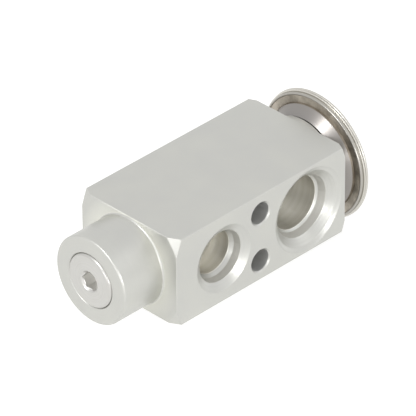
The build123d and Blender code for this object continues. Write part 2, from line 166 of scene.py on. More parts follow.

# %% [markdown]
# ## Aluminium block: where the cut finish starts
# The block is sawn from an extruded bar, milled, and then tumbled with ceramic stones, which leaves its
# flat faces even and matt. The ports, the bolt holes and the boss are turned or drilled, so they are
# smoother and carry fine rings round their own axis. The end face was faced when the boss was turned,
# so it is more matt near the boss, and it is painted brighter there as painted light thrown by the boss.
#
# All finishes are one metal, so they share one material. The distance from an axis tells them apart, so
# the four kinds of axis come first: liquid ports, suction ports, bolt holes and the valve's own.

# %% Distances from the block's axes
def distance_from_axis(tree, place, centre, across):
    """Distance in millimetres from an axis through `centre`, measured along the directions `across`."""
    offset = add_node(tree, "VectorMath", {0: place, 1: centre}, operation="SUBTRACT").outputs[0]
    flat = add_node(tree, "VectorMath", {0: offset, 1: across}, operation="MULTIPLY").outputs[0]
    return add_node(tree, "VectorMath", {0: flat}, operation="LENGTH").outputs["Value"]


def block_radii(tree, place):
    """Radius round each axis of the block. Both bolt holes share one, because the place is mirrored."""
    mirrored = add_node(tree, "VectorMath", {0: place}, operation="ABSOLUTE").outputs[0]
    return {
        "liquid": distance_from_axis(tree, place, (LIQUID_X, 0, 0), (1, 0, 1)),
        "suction": distance_from_axis(tree, place, (SUCTION_X, 0, 0), (1, 0, 1)),
        "bolt": distance_from_axis(tree, mirrored, (0, 0, BOLT_Z), (1, 0, 1)),
        "valve": distance_from_axis(tree, place, (0, 0, 0), (0, 1, 1)),
    }


print("axes in X: liquid", LIQUID_X, "suction", SUCTION_X)

# %% [markdown]
# ## Aluminium block: masks
# Masks say where each finish is. A mask is 1 inside a radius round an axis, or in front of a place along
# the valve. The steep walls of the ports lie between two radii. Other masks join these, and the faced
# ring is cut out of two of them.

# %% Masks
MOUTH_MARGIN = 0.03


def block_masks(tree, radius, x):
    """Masks of the block's finishes, by name."""
    mask = {}
    for name, distance, limit in (
        ("liquid", radius["liquid"], LIQUID_MOUTH_R - MOUTH_MARGIN),
        ("suction", radius["suction"], SUCTION_MOUTH_R - MOUTH_MARGIN),
        ("bolt_mouth", radius["bolt"], BOLT_MOUTH_R - MOUTH_MARGIN),
        ("bolt", radius["bolt"], BOLT_HOLE_R),
        ("boss", x, FRONT_X - MOUTH_MARGIN),
        ("liquid_bore", radius["liquid"], LIQUID_BORE_R),
        ("suction_bore", radius["suction"], SUCTION_BORE_R),
        ("front", x, FRONT_X + FACING_DEPTH),
    ):
        mask[name] = add_node(tree, "Math", {0: distance, 1: limit}, operation="LESS_THAN").outputs[0]
    for name, distance, (inner, outer) in (
        ("liquid_wall", radius["liquid"], LIQUID_WALL),
        ("suction_wall", radius["suction"], SUCTION_WALL),
    ):
        band = {0: distance, 1: (inner + outer) / 2, 2: (outer - inner) / 2}
        mask[name] = add_node(tree, "Math", band, operation="COMPARE").outputs[0]
    for name, one, other in (
        ("port", "liquid", "suction"),
        ("hole", "port", "bolt_mouth"),
        ("turned", "hole", "boss"),
        ("reamed", "liquid_bore", "suction_bore"),
        ("deep", "reamed", "bolt"),
        ("round", "boss", "reamed"),
        ("wall", "liquid_wall", "suction_wall"),
    ):
        mask[name] = add_node(tree, "Math", {0: mask[one], 1: mask[other]}, operation="MAXIMUM").outputs[0]

    # The faced ring, painted brighter as light thrown by the boss, fades out from the foot of the boss
    # towards the corners of the end face
    fading = {"Value": radius["valve"], "From Min": LIT_RING_R, "From Max": BOSS_R}
    near_boss = add_node(tree, "MapRange", fading).outputs[0]
    faced = add_node(tree, "Math", {0: mask["front"], 1: near_boss}, operation="MULTIPLY").outputs[0]
    mask["faced_and_lit_ring"] = add_node(
        tree, "Math", {0: faced, 1: mask["boss"]}, operation="SUBTRACT", use_clamp=True
    ).outputs[0]
    return mask


print("the cut finish starts", MOUTH_MARGIN, "mm inside each edge")

# %% [markdown]
# ## Aluminium block: tool marks
# Rings need one coordinate that runs across the tool marks everywhere, on a flat step as well as on a
# cylinder. The radius plus the depth along the axis does that, round whichever axis a surface was cut.
#
# Real tool marks are 0.05 to 0.1 mm apart and would vanish at this distance. They are drawn 0.35 and
# 1.1 mm apart, as coarse as they need to be to show. Noise keeps mostly to the middle of its range, so
# the part of it from 0.3 to 0.7 is what gets stretched over a colour or a roughness. The rings are two
# noises added up, so their part is twice as wide.

# %% Rings on turned and drilled surfaces
TOOL_MARK = 0.35
TOOL_BAND = 1.1
NOISE_RANGE = {"From Min": 0.3, "From Max": 0.7}
RING_RANGE = {"From Min": 0.6, "From Max": 1.4}


def block_rings(tree, radius, mask, xyz):
    """Rings from 0 to 2 round the axis that each surface was cut round."""
    hole_r = radius["liquid"]
    for share, other in ((mask["suction"], radius["suction"]), (mask["bolt_mouth"], radius["bolt"])):
        hole_r = add_node(tree, "Mix", {0: share, 2: hole_r, 3: other}, data_type="FLOAT").outputs[0]
    depth = add_node(tree, "Math", {0: xyz["Y"]}, operation="ABSOLUTE").outputs[0]
    in_hole = add_node(tree, "Math", {0: hole_r, 1: depth}, operation="ADD").outputs[0]
    on_boss = add_node(tree, "Math", {0: radius["valve"], 1: xyz["X"]}, operation="SUBTRACT").outputs[0]
    across = add_node(
        tree, "Mix", {0: mask["boss"], 2: in_hole, 3: on_boss}, data_type="FLOAT"
    ).outputs[0]
    marks, bands = (
        add_node(
            tree, "TexNoise", {"W": across, "Scale": 1 / width, "Detail": detail}, noise_dimensions="1D"
        ).outputs[0]
        for width, detail in ((TOOL_MARK, 1.0), (TOOL_BAND, 0.0))
    )
    return add_node(tree, "Math", {0: marks, 1: bands}, operation="ADD").outputs[0]


print("tool marks drawn", TOOL_MARK, "and", TOOL_BAND, "mm apart")

# %% [markdown]
# ## Aluminium block: colour, roughness and relief
# The tumbled faces come first, and each other finish is laid over them through its mask, the later ones
# over the earlier. The steep port walls, the bores and the bolt holes are painted brighter than the faces,
# as painted light that lifts the shade in these recesses. Turned steps are the smoothest, and the faced
# ring is the most matt. Relief is grain on the tumbled faces, and rings on what was turned, which are
# strongest in the ports.

# %% Colour, roughness and relief of the block
RING_STRENGTH, PORT_RING_STRENGTH, GRAIN_STRENGTH = 0.16, 0.6, 0.1
RELIEF_MM = 0.03
GRAIN_RELIEF_MM = 0.05


def block_colour(tree, mask, cloud_share, ring_share):
    """Colour of the block, with each finish and the painted light in its recesses laid over the tumbled
    faces.
    """
    colour, deep_lift_colour = (
        add_node(tree, "Mix", {0: share, 6: linear(dark), 7: linear(light)}, data_type="RGBA").outputs[2]
        for share, dark, light in ((cloud_share, "c6c6c2", "cacac5"), (ring_share, "e4e2da", "eceae4"))
    )
    for name, over in (
        # painted light thrown by the boss onto the end face
        ("faced_and_lit_ring", linear("e6e6df")),
        # painted light: the steep walls, the bores and the bolt holes are painted brighter to lift the shade
        # in them
        ("wall", linear("d6d5d0")),
        ("deep", deep_lift_colour),
        ("bolt", linear("d8d8d6")),
    ):
        colour = add_node(tree, "Mix", {0: mask[name], 6: colour, 7: over}, data_type="RGBA").outputs[2]
    return colour


def block_roughness(tree, mask, cloud_share, ring_share):
    """Roughness of the block, with each finish laid over the tumbled faces."""
    roughness, step_rough, round_rough = (
        add_node(tree, "MapRange", {"Value": share, "To Min": smooth, "To Max": rough}).outputs[0]
        for share, smooth, rough in (
            (cloud_share, 0.44, 0.5),
            (ring_share, 0.28, 0.46),
            (ring_share, 0.4, 0.46),
        )
    )
    for name, over in (
        ("hole", step_rough),
        ("round", round_rough),
        ("wall", 0.6),
        ("faced_and_lit_ring", 0.7),
        ("bolt", 0.62),
    ):
        layers = {0: mask[name], 2: roughness, 3: over}
        roughness = add_node(tree, "Mix", layers, data_type="FLOAT").outputs[0]
    return roughness


def block_relief(tree, mask, grain, rings):
    """Grain on the tumbled faces of the block, and rings on its turned ones."""
    layers = {0: mask["port"], 2: RING_STRENGTH, 3: PORT_RING_STRENGTH}
    strength = add_node(tree, "Mix", layers, data_type="FLOAT").outputs[0]
    grain_bump, ring_bump = (
        add_node(tree, "Bump", {"Height": height, "Strength": share, "Distance": depth * MM}).outputs[0]
        for height, share, depth in ((grain, GRAIN_STRENGTH, GRAIN_RELIEF_MM), (rings, strength, RELIEF_MM))
    )
    layers = {0: mask["turned"], 4: grain_bump, 5: ring_bump}
    return add_node(tree, "Mix", layers, data_type="VECTOR").outputs[1]


print("relief is", RELIEF_MM, "mm on turned and", GRAIN_RELIEF_MM, "mm on tumbled surfaces")

# %% [markdown]
# ## Aluminium block: the material
# Tumbled faces have a grain of about half a millimetre, and cloudy patches of 9 mm where the stones
# rubbed a little more or less. With these two noises the pieces above come together.

# %% Tumbled and turned aluminium
TUMBLED_GRAIN = 0.45
CLOUD = 9.0


def aluminium_block():
    """The block's material, with each finish in its place."""
    material, tree, place = new_material("tumbled_and_turned_aluminium")
    xyz = add_node(tree, "SeparateXYZ", {0: place}).outputs
    radius = block_radii(tree, place)
    mask = block_masks(tree, radius, xyz["X"])
    rings = block_rings(tree, radius, mask, xyz)
    grain, cloud = (
        add_node(tree, "TexNoise", {"Vector": place, "Scale": 1 / width, "Detail": detail}).outputs[0]
        for width, detail in ((TUMBLED_GRAIN, 3.0), (CLOUD, 2.0))
    )
    cloud_share = add_node(tree, "MapRange", {"Value": cloud, **NOISE_RANGE}).outputs[0]
    ring_share = add_node(tree, "MapRange", {"Value": rings, **RING_RANGE}).outputs[0]
    finish = {
        "Base Color": block_colour(tree, mask, cloud_share, ring_share),
        "Metallic": METAL,
        "Roughness": block_roughness(tree, mask, cloud_share, ring_share),
        "Normal": block_relief(tree, mask, grain, rings),
    }
    close_material(tree, finish)
    return material


wear(["valve_body"], aluminium_block())

# %% [markdown]
# ## Turned parts
# The adjusting screw, the ball carrier, the push rod, the stem and the stop plate are turned from bar. A
# turned face shows rings, and a turned cylinder shows fine lines round it. Both come from one coordinate,
# the radius less the place along the valve axis, so one function makes all of these metals. The screw's
# socket is broached after turning, and the metal inside it is painted bright, as painted light that lifts
# the shade in that recess. A socket is given by its radius and by the place along the valve where the
# painted light begins.

# %% Turned metals round the valve axis
TURNED_CLOUD = 4.0
CLOUD_IN_MARKS = 0.35
TURNED_RELIEF_MM = 0.02
# painted light: the inside of the screw's socket is painted this bright to lift its shade
SOCKET_LIFT, SOCKET_LIFT_ROUGHNESS = "f0efec", 0.45
NO_SOCKET = (0.0, 0.0)
SCREW_SOCKET = (2.95, -45.5)


def turned_metal(name, dark, light, smooth, rough, socket=NO_SOCKET):
    """A metal turned round the valve axis, between two colours and two roughnesses."""
    material, tree, place = new_material(name)
    xyz = add_node(tree, "SeparateXYZ", {0: place}).outputs
    radius = distance_from_axis(tree, place, (0, 0, 0), (0, 1, 1))
    across = add_node(tree, "Math", {0: radius, 1: xyz["X"]}, operation="SUBTRACT").outputs[0]
    marks = add_node(
        tree, "TexNoise", {"W": across, "Scale": 1 / TOOL_MARK, "Detail": 2.0}, noise_dimensions="1D"
    ).outputs[0]
    cloud = add_node(tree, "TexNoise", {"Vector": place, "Scale": 1 / TURNED_CLOUD, "Detail": 2.0}).outputs[0]
    both = add_node(tree, "Mix", {0: CLOUD_IN_MARKS, 2: marks, 3: cloud}, data_type="FLOAT").outputs[0]
    share = add_node(tree, "MapRange", {"Value": both, **NOISE_RANGE}).outputs[0]
    turned = add_node(
        tree, "Mix", {0: share, 6: linear(dark), 7: linear(light)}, data_type="RGBA"
    ).outputs[2]
    turned_rough = add_node(
        tree, "MapRange", {"Value": both, **NOISE_RANGE, "To Min": smooth, "To Max": rough}
    ).outputs[0]
    # Inside the socket the colour is painted bright: painted light that lifts the shade in the recess.
    socket_r, socket_x = socket
    narrow = add_node(tree, "Math", {0: radius, 1: socket_r}, operation="LESS_THAN").outputs[0]
    inside = add_node(tree, "Math", {0: xyz["X"], 1: socket_x}, operation="GREATER_THAN").outputs[0]
    cut = add_node(tree, "Math", {0: narrow, 1: inside}, operation="MULTIPLY").outputs[0]
    colour = add_node(tree, "Mix", {0: cut, 6: turned, 7: linear(SOCKET_LIFT)}, data_type="RGBA").outputs[2]
    layers = {0: cut, 2: turned_rough, 3: SOCKET_LIFT_ROUGHNESS}
    roughness = add_node(tree, "Mix", layers, data_type="FLOAT").outputs[0]
    relief = {"Height": marks, "Strength": 0.2, "Distance": TURNED_RELIEF_MM * MM}
    normal = add_node(tree, "Bump", relief).outputs[0]
    finish = {"Base Color": colour, "Metallic": METAL, "Roughness": roughness, "Normal": normal}
    close_material(tree, finish)
    return material


screw_metal = turned_metal("turned_aluminium_screw", "c4c3bf", "cfcecb", 0.3, 0.42, SCREW_SOCKET)
wear(["adjusting_screw"], screw_metal)
wear(["sensing_stem"], turned_metal("turned_aluminium_stem", "c2c1bd", "d0cfcb", 0.22, 0.32))
wear(
    ["ball_carrier", "push_rod", "stop_plate"],
    turned_metal("turned_stainless_steel", "a8a49e", "bcb8b2", 0.2, 0.3),
)

# %% [markdown]
# ## Diaphragm head: stainless steel with heat tint and painted light
# The two shells of the head are turned and pressed from stainless steel and welded together at the rim.
# The heat of the weld leaves a straw and brown film beside it, so the colour depends on the distance
# from the valve axis. The lower shell is clean on the cone and brown in the groove before the rim, where
# the film is also painted lighter, as painted light that lifts the shade in the groove. The rim is ground
# after welding, and a narrow ring on it is painted bright as a painted highlight. The cover only has a
# faint straw edge, and a narrow ring near its edge is a painted highlight too.
#
# The film is also matt and has darker stains. It begins over a tenth of a millimetre where the cone
# ends, and it is ground away over a wider band where the rim begins.

# %% Steps of tint and painted light, as pairs of radius and colour
FILM_BEGINS = (15.5, 15.6)
FILM_ENDS = (17.75, 18.05)
SHELL_TINT_AND_LIGHT = (
    (12.0, "918e8c"),
    (FILM_BEGINS[0], "96928e"),
    (FILM_BEGINS[1], "8a8276"),
    (15.75, "9c9488"),
    # painted light: the straw film in the groove is painted lighter to lift the shade there
    (15.85, "ccc4b8"),
    (FILM_ENDS[0], "d4ccc0"),
    (FILM_ENDS[1], "a9a6a0"),
    (18.55, "b3b0a9"),
    # painted highlight: a bright ring along the rim
    (18.7, "d6d3cb"),
    (19.1, "c9c6bf"),
)
COVER_TINT_AND_HIGHLIGHT = (
    (0.0, "aeaca8"),
    (15.0, "b2afaa"),
    (17.6, "b3ab9d"),
    (18.3, "b8b4ac"),
    (18.7, "dedbd3"),
    # painted highlight: a bright ring near the cover's edge
    (19.1, "c9c6bf"),
)
print("film from radius", FILM_BEGINS[0], "to", FILM_ENDS[1])

# %% [markdown]
# ## Diaphragm head: the material
# The steps of tint and painted light become the stops of a colour ramp that runs outwards with the
# radius. A slow drift makes the rings a little uneven, and patches of stain darken the film.

# %% Heat-tinted stainless steel
FINE_MARK = 0.3
STAIN_SIZE = 3.0
STAIN_RANGE = {"From Min": 0.35, "From Max": 0.65}
STAIN_COLOUR = "5a5040"
TINT_DRIFT = 0.05
FILM_ROUGHNESS = 0.5


def heat_tinted_steel(name, tint_and_light_steps, stain_share):
    """Stainless steel coloured in rings of tint and painted light, and stained where the film is."""
    material, tree, place = new_material(name)
    xyz = add_node(tree, "SeparateXYZ", {0: place}).outputs
    radius = distance_from_axis(tree, place, (0, 0, 0), (0, 1, 1))
    across = add_node(tree, "Math", {0: radius, 1: xyz["X"]}, operation="SUBTRACT").outputs[0]
    marks = add_node(
        tree, "TexNoise", {"W": across, "Scale": 1 / FINE_MARK, "Detail": 1.0}, noise_dimensions="1D"
    ).outputs[0]
    patches = add_node(tree, "TexNoise", {"Vector": place, "Scale": 1 / STAIN_SIZE, "Detail": 3.0}).outputs[0]
    low, high = tint_and_light_steps[0][0], tint_and_light_steps[-1][0]
    drift = add_node(
        tree, "MapRange", {"Value": patches, "To Min": -TINT_DRIFT, "To Max": TINT_DRIFT}
    ).outputs[0]
    uneven = add_node(tree, "Math", {0: radius, 1: drift}, operation="ADD").outputs[0]
    share = add_node(tree, "MapRange", {"Value": uneven, "From Min": low, "From Max": high}).outputs[0]
    tint = add_node(tree, "ValToRGB", {0: share})
    stops = tint.color_ramp.elements
    for step_r, _ in tint_and_light_steps[1:-1]:
        stops.new((step_r - low) / (high - low))
    for stop, (_, hex_colour) in zip(stops, tint_and_light_steps):
        stop.color = linear(hex_colour)
    oxide, ground = (
        add_node(tree, "MapRange", {"Value": radius, "From Min": start, "From Max": end}).outputs[0]
        for start, end in (FILM_BEGINS, FILM_ENDS)
    )
    filmed = add_node(tree, "Math", {0: oxide, 1: ground}, operation="SUBTRACT").outputs[0]
    smooth = add_node(
        tree, "MapRange", {"Value": marks, **NOISE_RANGE, "To Min": 0.28, "To Max": 0.36}
    ).outputs[0]
    layers = {0: filmed, 2: smooth, 3: FILM_ROUGHNESS}
    roughness = add_node(tree, "Mix", layers, data_type="FLOAT").outputs[0]
    relief = {"Height": marks, "Strength": 0.15, "Distance": TURNED_RELIEF_MM * MM}
    normal = add_node(tree, "Bump", relief).outputs[0]
    fading = {"Value": patches, **STAIN_RANGE, "To Min": stain_share, "To Max": 0.0}
    patch = add_node(tree, "MapRange", fading).outputs[0]
    stain = add_node(tree, "Math", {0: patch, 1: filmed}, operation="MULTIPLY").outputs[0]
    layers = {0: stain, 6: tint.outputs[0], 7: linear(STAIN_COLOUR)}
    colour = add_node(tree, "Mix", layers, data_type="RGBA").outputs[2]
    finish = {"Base Color": colour, "Metallic": METAL, "Roughness": roughness, "Normal": normal}
    close_material(tree, finish)
    return material


tinted_steel = heat_tinted_steel("stainless_steel_tint_and_painted_light", SHELL_TINT_AND_LIGHT, 0.5)
wear(["head_lower_housing"], tinted_steel)
wear(["head_cover", "charge_plug"], heat_tinted_steel("pressed_steel_tint_and_painted_highlight", COVER_TINT_AND_HIGHLIGHT, 0.1))

# %% [markdown]
# ## Small inner parts
# Spring wire is drawn, the thin springy parts are rolled sheet, the ball is ground and polished, the
# seals are moulded rubber and the washer is a filled plastic. Nobody sees them while the valve is whole,
# but a section or an exploded view does. Each needs only one grain, so one function makes them all.

# %% Drawn wire, polished ball, rubber and plastic
def grained(name, dark, light, grain, metallic, smooth, rough, bump):
    """A material with one grain size, between two colours and two roughnesses."""
    material, tree, place = new_material(name)
    noise = add_node(tree, "TexNoise", {"Vector": place, "Scale": 1 / grain, "Detail": 4.0}).outputs[0]
    share = add_node(tree, "MapRange", {"Value": noise, **NOISE_RANGE}).outputs[0]
    colour = add_node(
        tree, "Mix", {0: share, 6: linear(dark), 7: linear(light)}, data_type="RGBA"
    ).outputs[2]
    roughness = add_node(
        tree, "MapRange", {"Value": noise, **NOISE_RANGE, "To Min": smooth, "To Max": rough}
    ).outputs[0]
    relief = {"Height": noise, "Strength": bump, "Distance": RELIEF_MM * MM}
    normal = add_node(tree, "Bump", relief).outputs[0]
    finish = {"Base Color": colour, "Metallic": metallic, "Roughness": roughness, "Normal": normal}
    close_material(tree, finish)
    return material


spring_wire = grained("drawn_spring_wire", "8a8782", "a29f99", 0.6, METAL, 0.22, 0.34, 0.1)
wear(["superheat_spring"], spring_wire)
wear(
    ["damping_ring", "seal_retainer", "diaphragm"],
    grained("rolled_spring_sheet", "a5a29c", "b8b5af", 0.8, METAL, 0.2, 0.3, 0.08),
)
wear(["valve_ball"], grained("polished_ball_steel", "c3c2c0", "cfcecc", 1.5, METAL, 0.05, 0.1, 0.02))
wear(
    ["adjusting_screw_o_ring", "rod_o_ring", "head_o_ring"],
    grained("moulded_nitrile_rubber", "161616", "232221", 0.3, NOT_METAL, 0.5, 0.65, 0.3),
)
wear(
    ["rod_seal_washer"],
    grained("filled_white_plastic", "d6d3c8", "e2dfd6", 0.4, NOT_METAL, 0.4, 0.5, 0.15),
)

# %% [markdown]
# ## New pieces: a lathe and a winder
# Three solids get a stand-in. The adjusting screw and the lower shell of the head have no thread, which
# is too fine for a solid, and the spring is one solid that can't be squeezed. The new pieces are made in
# the way of the workshop. A lathe spins half a section round the valve axis, and a winder spins a small
# section round it while it moves along, which gives a thread or a spring. Both are the spin operator,
# without and with a step along the axis.

# %% Lathe and winder
LATHE_STEPS = 96
MERGE_MM = 0.0005


def edges_of(verts):
    """The edges that meet at some vertices, each once and always in the same order."""
    return list(dict.fromkeys(edge for vert in verts for edge in vert.link_edges))


def lathe(shape, section, closed=False):
    """Spins a half section of (x, radius) points in millimetres round the valve axis."""
    verts = [shape.verts.new((x, 0, radius)) for x, radius in section]
    ends = zip(verts, verts[1:] + verts[:1] if closed else verts[1:])
    edges = [shape.edges.new(pair) for pair in ends]
    bmesh.ops.spin(
        shape,
        geom=verts + edges,
        cent=(0, 0, 0),
        axis=(1, 0, 0),
        angle=2 * math.pi,
        steps=LATHE_STEPS,
        use_merge=True,
    )
    bmesh.ops.remove_doubles(shape, verts=shape.verts, dist=MERGE_MM)


def wind(shape, section, pitch, turns, steps_per_turn):
    """Winds a closed loop of edges round the valve axis, one pitch a turn, and closes its ends."""
    bmesh.ops.spin(
        shape,
        geom=section + edges_of(section),
        cent=(0, 0, 0),
        axis=(1, 0, 0),
        dvec=(pitch / steps_per_turn, 0, 0),
        angle=2 * math.pi * turns,
        steps=round(turns * steps_per_turn),
    )
    bmesh.ops.holes_fill(shape, edges=[edge for edge in shape.edges if edge.is_boundary])


print("a lathe step is", 360 / LATHE_STEPS, "degrees")

# %% [markdown]
# ## Rounding an edge and finishing a piece
# A ring edge is found by its place along the axis and its radius, and a bevel of several segments rounds
# it. Pieces are built in millimetres. At the end their doubles are merged, their normals are turned
# outwards, and they are scaled to metres. A closed shell has no open edges, so those are counted.

# %% Rounding and finishing
SHARP_ANGLE = math.radians(28)
FIND_MM = 0.001


def round_ring(shape, x, radius, width, segments):
    """Rounds the ring edge at one place of a turned piece."""
    corner = Vector((x, radius))
    at_ring = [v for v in shape.verts if (Vector((v.co.x, v.co.yz.length)) - corner).length < FIND_MM]
    ring = [e for e in shape.edges if all(v in at_ring for v in e.verts)]
    bmesh.ops.bevel(
        shape,
        geom=ring,
        offset=width,
        segments=segments,
        profile=0.5,
        affect="EDGES",
        material=-1,
        clamp_overlap=True,
    )


def finish_piece(name, shape, material):
    """Turns a bmesh in millimetres into a piece of the model in metres."""
    bmesh.ops.remove_doubles(shape, verts=shape.verts, dist=MERGE_MM)
    bmesh.ops.recalc_face_normals(shape, faces=shape.faces)
    open_edges = sum(not edge.is_manifold for edge in shape.edges)
    bmesh.ops.scale(shape, vec=(MM, MM, MM), verts=shape.verts)
    mesh = bpy.data.meshes.new(name)
    shape.to_mesh(mesh)
    shape.free()
    mesh.polygons.foreach_set("use_smooth", [True] * len(mesh.polygons))
    mesh.set_sharp_from_angle(angle=SHARP_ANGLE)
    mesh.materials.append(material)
    piece = bpy.data.objects.new(name, mesh)
    bpy.context.scene.collection.objects.link(piece)
    print(name, len(mesh.polygons), "faces, open edges:", open_edges)
    return piece


print("edges sharper than", round(math.degrees(SHARP_ANGLE)), "degrees stay sharp")

# %% [markdown]
# ## Thread
# A thread is a ridge wound round a core. Its section is a blunt triangle with its flanks about 60 degrees
# apart, and its foot is sunk into the core, so that the two shells leave no gap. The screw's thread is an
# M16 with a fine pitch of 1 mm, and the head's neck has a pitch of 1.25 mm. The depth of the thread and
# the half widths of its foot and crest are shares of the pitch.

# %% Thread ridge
THREAD_DEPTH_SHARE = 0.61
FOOT_SHARE = 0.44
CREST_SHARE = 0.07
FOOT_SINK = 0.05
THREAD_STEPS = 72


def thread_ridge(shape, start, end, crest, pitch):
    """Winds a thread ridge from start to end, with its crest at a radius."""
    root = crest - THREAD_DEPTH_SHARE * pitch - FOOT_SINK
    foot, flat = FOOT_SHARE * pitch, CREST_SHARE * pitch
    first = start + foot
    corners = [(first - foot, root), (first - flat, crest), (first + flat, crest), (first + foot, root)]
    section = [shape.verts.new((x, 0, radius)) for x, radius in corners]
    for pair in zip(section, section[1:] + section[:1]):
        shape.edges.new(pair)
    turns = (end - start - 2 * foot) / pitch
    wind(shape, section, pitch, turns, THREAD_STEPS)


print("a thread is", THREAD_DEPTH_SHARE, "of its pitch deep")

# %% [markdown]
# ## Adjusting screw
# The screw sets how hard the spring presses. It is a turned plug with a rounded front edge, a fine
# thread, a groove for its O-ring and a pilot that centres the spring. Its length and its front end are
# those of the solid that it stands for.

# %% Sizes of the adjusting screw
SCREW_FRONT = screw_low.x
SCREW_R = 7.95
SCREW_EDGE = 1.0
SCREW_EDGE_STEPS = 8
THREAD_SET_BACK = 1.1
SCREW_THREAD_START = SCREW_FRONT + THREAD_SET_BACK
SCREW_SHOULDER = -38.55
SCREW_PITCH = 1.0
TAIL_R = 6.52
GROOVE_START, GROOVE_END, GROOVE_R = -35.65, -33.55, 5.22
TAIL_END = -32.65
PILOT_R = 3.3
PILOT_END = screw_high.x
CHAMFER = 0.2
print("screw from", round(SCREW_FRONT, 2), "to", round(PILOT_END, 2))

# %% [markdown]
# ## Hexagon socket
# A 5 mm hexagon socket turns the screw. It starts as a circle of six segments, which is the hexagon. Its
# edges are divided, so that it bridges evenly to the round lead-in, and each point sinks to where the
# 45 degree lead-in meets it. Its walls are extruded inwards from there, and a shallow drill point closes
# its floor.

# %% Socket cutter
HEX_ACROSS_FLATS = 5.0
HEX_DEPTH = 5.2
LEAD_IN_R = 3.187
DRILL_POINT = 0.9


def hexagon_socket(shape):
    """Cuts the socket inwards from the one open ring of the turned screw."""
    mouth = [edge for edge in shape.edges if edge.is_boundary]
    upright = Matrix.Rotation(math.pi / 2, 3, "Y") @ Matrix.Rotation(math.pi, 3, "Z")
    corner_r = HEX_ACROSS_FLATS / math.sqrt(3)
    hexagon = bmesh.ops.create_circle(shape, segments=6, radius=corner_r, matrix=upright.to_4x4())["verts"]
    bmesh.ops.subdivide_edges(shape, edges=edges_of(hexagon), cuts=LATHE_STEPS // 6 - 1)
    hexagon = [vert for vert in shape.verts if not vert.link_faces]
    for vert in hexagon:
        vert.co.x = SCREW_FRONT + LEAD_IN_R - vert.co.yz.length
    lip = edges_of(hexagon)
    bmesh.ops.bridge_loops(shape, edges=mouth + lip)
    wall = bmesh.ops.extrude_edge_only(shape, edges=lip)["geom"]
    floor = [part for part in wall if isinstance(part, bmesh.types.BMVert)]
    for vert in floor:
        vert.co.x = SCREW_FRONT + HEX_DEPTH
    wall_edges = [part for part in wall if isinstance(part, bmesh.types.BMEdge)]
    rim = [edge for edge in wall_edges if all(vert in floor for vert in edge.verts)]
    point = bmesh.ops.extrude_edge_only(shape, edges=rim)["geom"]
    tip = [part for part in point if isinstance(part, bmesh.types.BMVert)]
    bmesh.ops.pointmerge(shape, verts=tip, merge_co=(SCREW_FRONT + HEX_DEPTH + DRILL_POINT, 0, 0))


print("socket", HEX_ACROSS_FLATS, "mm across flats and", HEX_DEPTH, "mm deep")

# %% [markdown]
# ## Turning the screw
# The section is turned on the lathe and stays open at the front, where the socket closes it. Its core is
# turned down to the root of the thread. The front edge is rounded, and the ridge is wound on the core.

# %% Adjusting screw
def make_adjusting_screw():
    """Turns the screw from its front end to its pilot, then cuts the socket and winds the thread."""
    shape = bmesh.new()
    core_r = SCREW_R - THREAD_DEPTH_SHARE * SCREW_PITCH
    lathe(
        shape,
        [
            (SCREW_FRONT, LEAD_IN_R),
            (SCREW_FRONT, SCREW_R),
            (SCREW_THREAD_START, SCREW_R),
            (SCREW_THREAD_START, core_r),
            (SCREW_SHOULDER, core_r),
            (SCREW_SHOULDER, TAIL_R),
            (GROOVE_START, TAIL_R),
            (GROOVE_START, GROOVE_R),
            (GROOVE_END, GROOVE_R),
            (GROOVE_END, TAIL_R),
            (TAIL_END - CHAMFER, TAIL_R),
            (TAIL_END, TAIL_R - CHAMFER),
            (TAIL_END, PILOT_R),
            (PILOT_END - CHAMFER, PILOT_R),
            (PILOT_END, PILOT_R - CHAMFER),
            (PILOT_END, 0),
        ],
    )
    hexagon_socket(shape)
    round_ring(shape, SCREW_FRONT, SCREW_R, SCREW_EDGE, SCREW_EDGE_STEPS)
    thread_ridge(shape, SCREW_THREAD_START, SCREW_SHOULDER, SCREW_R, SCREW_PITCH)
    screw = finish_piece("threaded_adjusting_screw", shape, screw_metal)
    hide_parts("adjusting_screw")
    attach(screw, "screw")


make_adjusting_screw()

# %% [markdown]
# ## Lower shell of the head
# The lower shell is turned: a threaded neck, a shoulder that presses on the O-ring, a cone, a groove and
# a rounded rim, with the cavity for the stop plate inside. A small weld bead joins it to the cover. Rim
# and bead are the bright rings round the head, so their edges are rounded with a bevel of several
# segments, which gives the light a round edge to run along.

# %% Lower shell with a rounded rim and a threaded neck
NECK_START, NECK_R, NECK_BORE_R = housing_low.x, 10.9, 9.3
NECK_PITCH = 1.25
NECK_THREAD_END = 32.6
SEAL_SEAT = 32.9
SHOULDER_X, SHOULDER_R = 34.9, 13.0
CONE_X, CONE_R = 37.45, 15.55
RIM_GROOVE_X, RIM_GROOVE_SLOPE = 38.0, 0.2
RIM_FACE_X, RIM_FACE_R = 37.75, 17.95
RIM_R = housing_high.z
RIM_ROUND = 0.45
BEAD_X, BEAD_R, BEAD_ROUND = 38.7, 18.95, 0.25
RIM_STEPS, BEAD_STEPS, EDGE_STEPS = 6, 5, 3
JOINT_X = housing_high.x
CAVITY_X, CAVITY_R, CAVITY_RIM_R = 37.03, 13.3, 15.1


